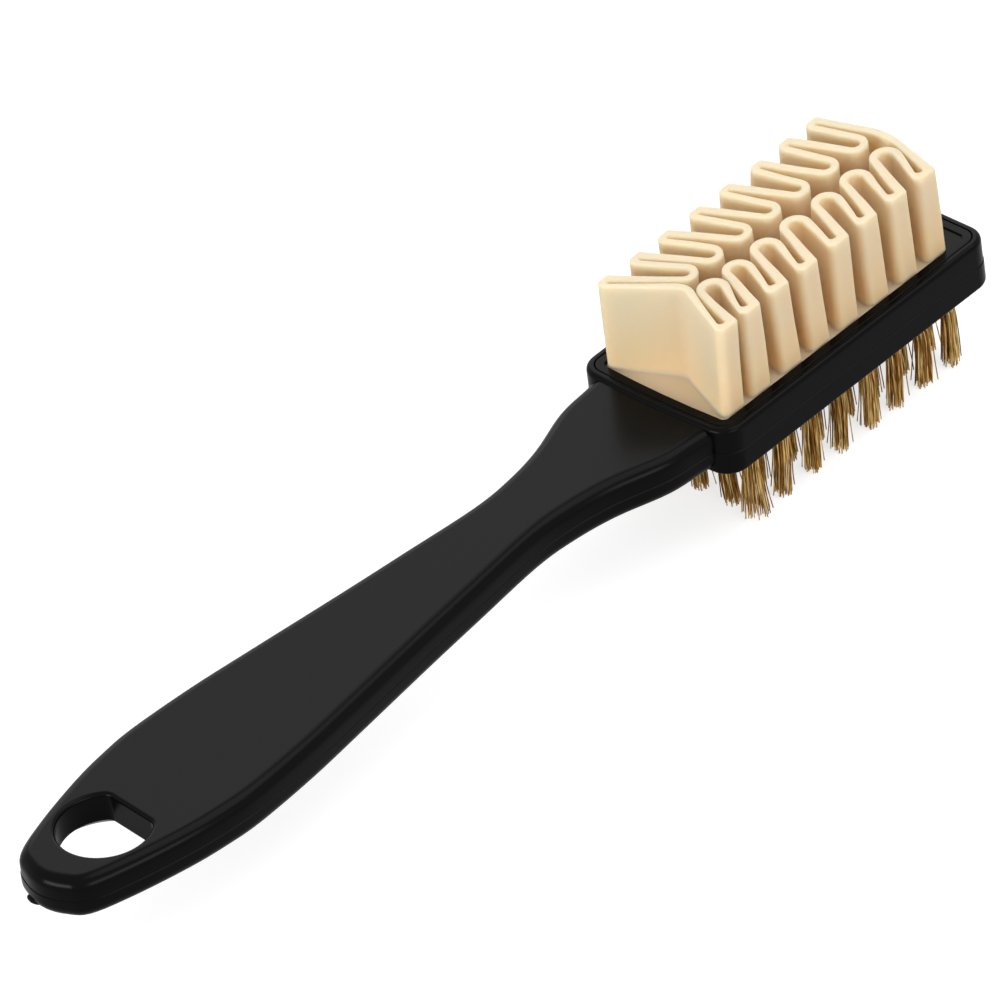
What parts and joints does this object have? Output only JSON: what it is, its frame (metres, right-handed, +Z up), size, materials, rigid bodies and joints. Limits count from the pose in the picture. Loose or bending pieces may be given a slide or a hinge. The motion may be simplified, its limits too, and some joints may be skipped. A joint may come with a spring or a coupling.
{
  "type": "shoe brush",
  "caption": "Hand brush for suede shoes, with folded crepe rubber on top of its head, brass wire tufts below, and a long flat handle with a hanging hole.",
  "frame": {"origin": "middle of the brush's length and width, at the level of the wire tips", "axes": "+X along the handle towards the head, +Y across the head, +Z up through the rubber"},
  "size_m": [0.17, 0.0264, 0.0315],
  "materials": {
    "black_plastic": "satin moulded",
    "crepe_rubber": "smooth cream",
    "brass_wire": "drawn wire"
  },
  "bodies": {
    "root": {"handle_body": "black_plastic", "crepe_frame": "black_plastic", "crepe_rubber": "crepe_rubber", "brass_tuft_1_1": "brass_wire", "brass_tuft_1_2": "brass_wire", "brass_tuft_1_3": "brass_wire", "brass_tuft_1_4": "brass_wire", "brass_tuft_1_5": "brass_wire", "brass_tuft_1_6": "brass_wire", "brass_tuft_1_7": "brass_wire", "brass_tuft_1_8": "brass_wire", "brass_tuft_2_1": "brass_wire", "brass_tuft_2_2": "brass_wire", "brass_tuft_2_3": "brass_wire", "brass_tuft_2_4": "brass_wire", "brass_tuft_2_5": "brass_wire", "brass_tuft_2_6": "brass_wire", "brass_tuft_2_7": "brass_wire", "brass_tuft_2_8": "brass_wire", "brass_tuft_3_1": "brass_wire", "brass_tuft_3_2": "brass_wire", "brass_tuft_3_3": "brass_wire", "brass_tuft_3_4": "brass_wire", "brass_tuft_3_5": "brass_wire", "brass_tuft_3_6": "brass_wire", "brass_tuft_3_7": "brass_wire", "brass_tuft_3_8": "brass_wire", "brass_tuft_4_1": "brass_wire", "brass_tuft_4_2": "brass_wire", "brass_tuft_4_3": "brass_wire", "brass_tuft_4_4": "brass_wire", "brass_tuft_4_5": "brass_wire", "brass_tuft_4_6": "brass_wire", "brass_tuft_4_7": "brass_wire", "brass_tuft_4_8": "brass_wire", "brass_tuft_5_1": "brass_wire", "brass_tuft_5_2": "brass_wire", "brass_tuft_5_3": "brass_wire", "brass_tuft_5_4": "brass_wire", "brass_tuft_5_5": "brass_wire", "brass_tuft_5_6": "brass_wire", "brass_tuft_5_7": "brass_wire", "brass_tuft_5_8": "brass_wire"}
  },
  "joints": []
}
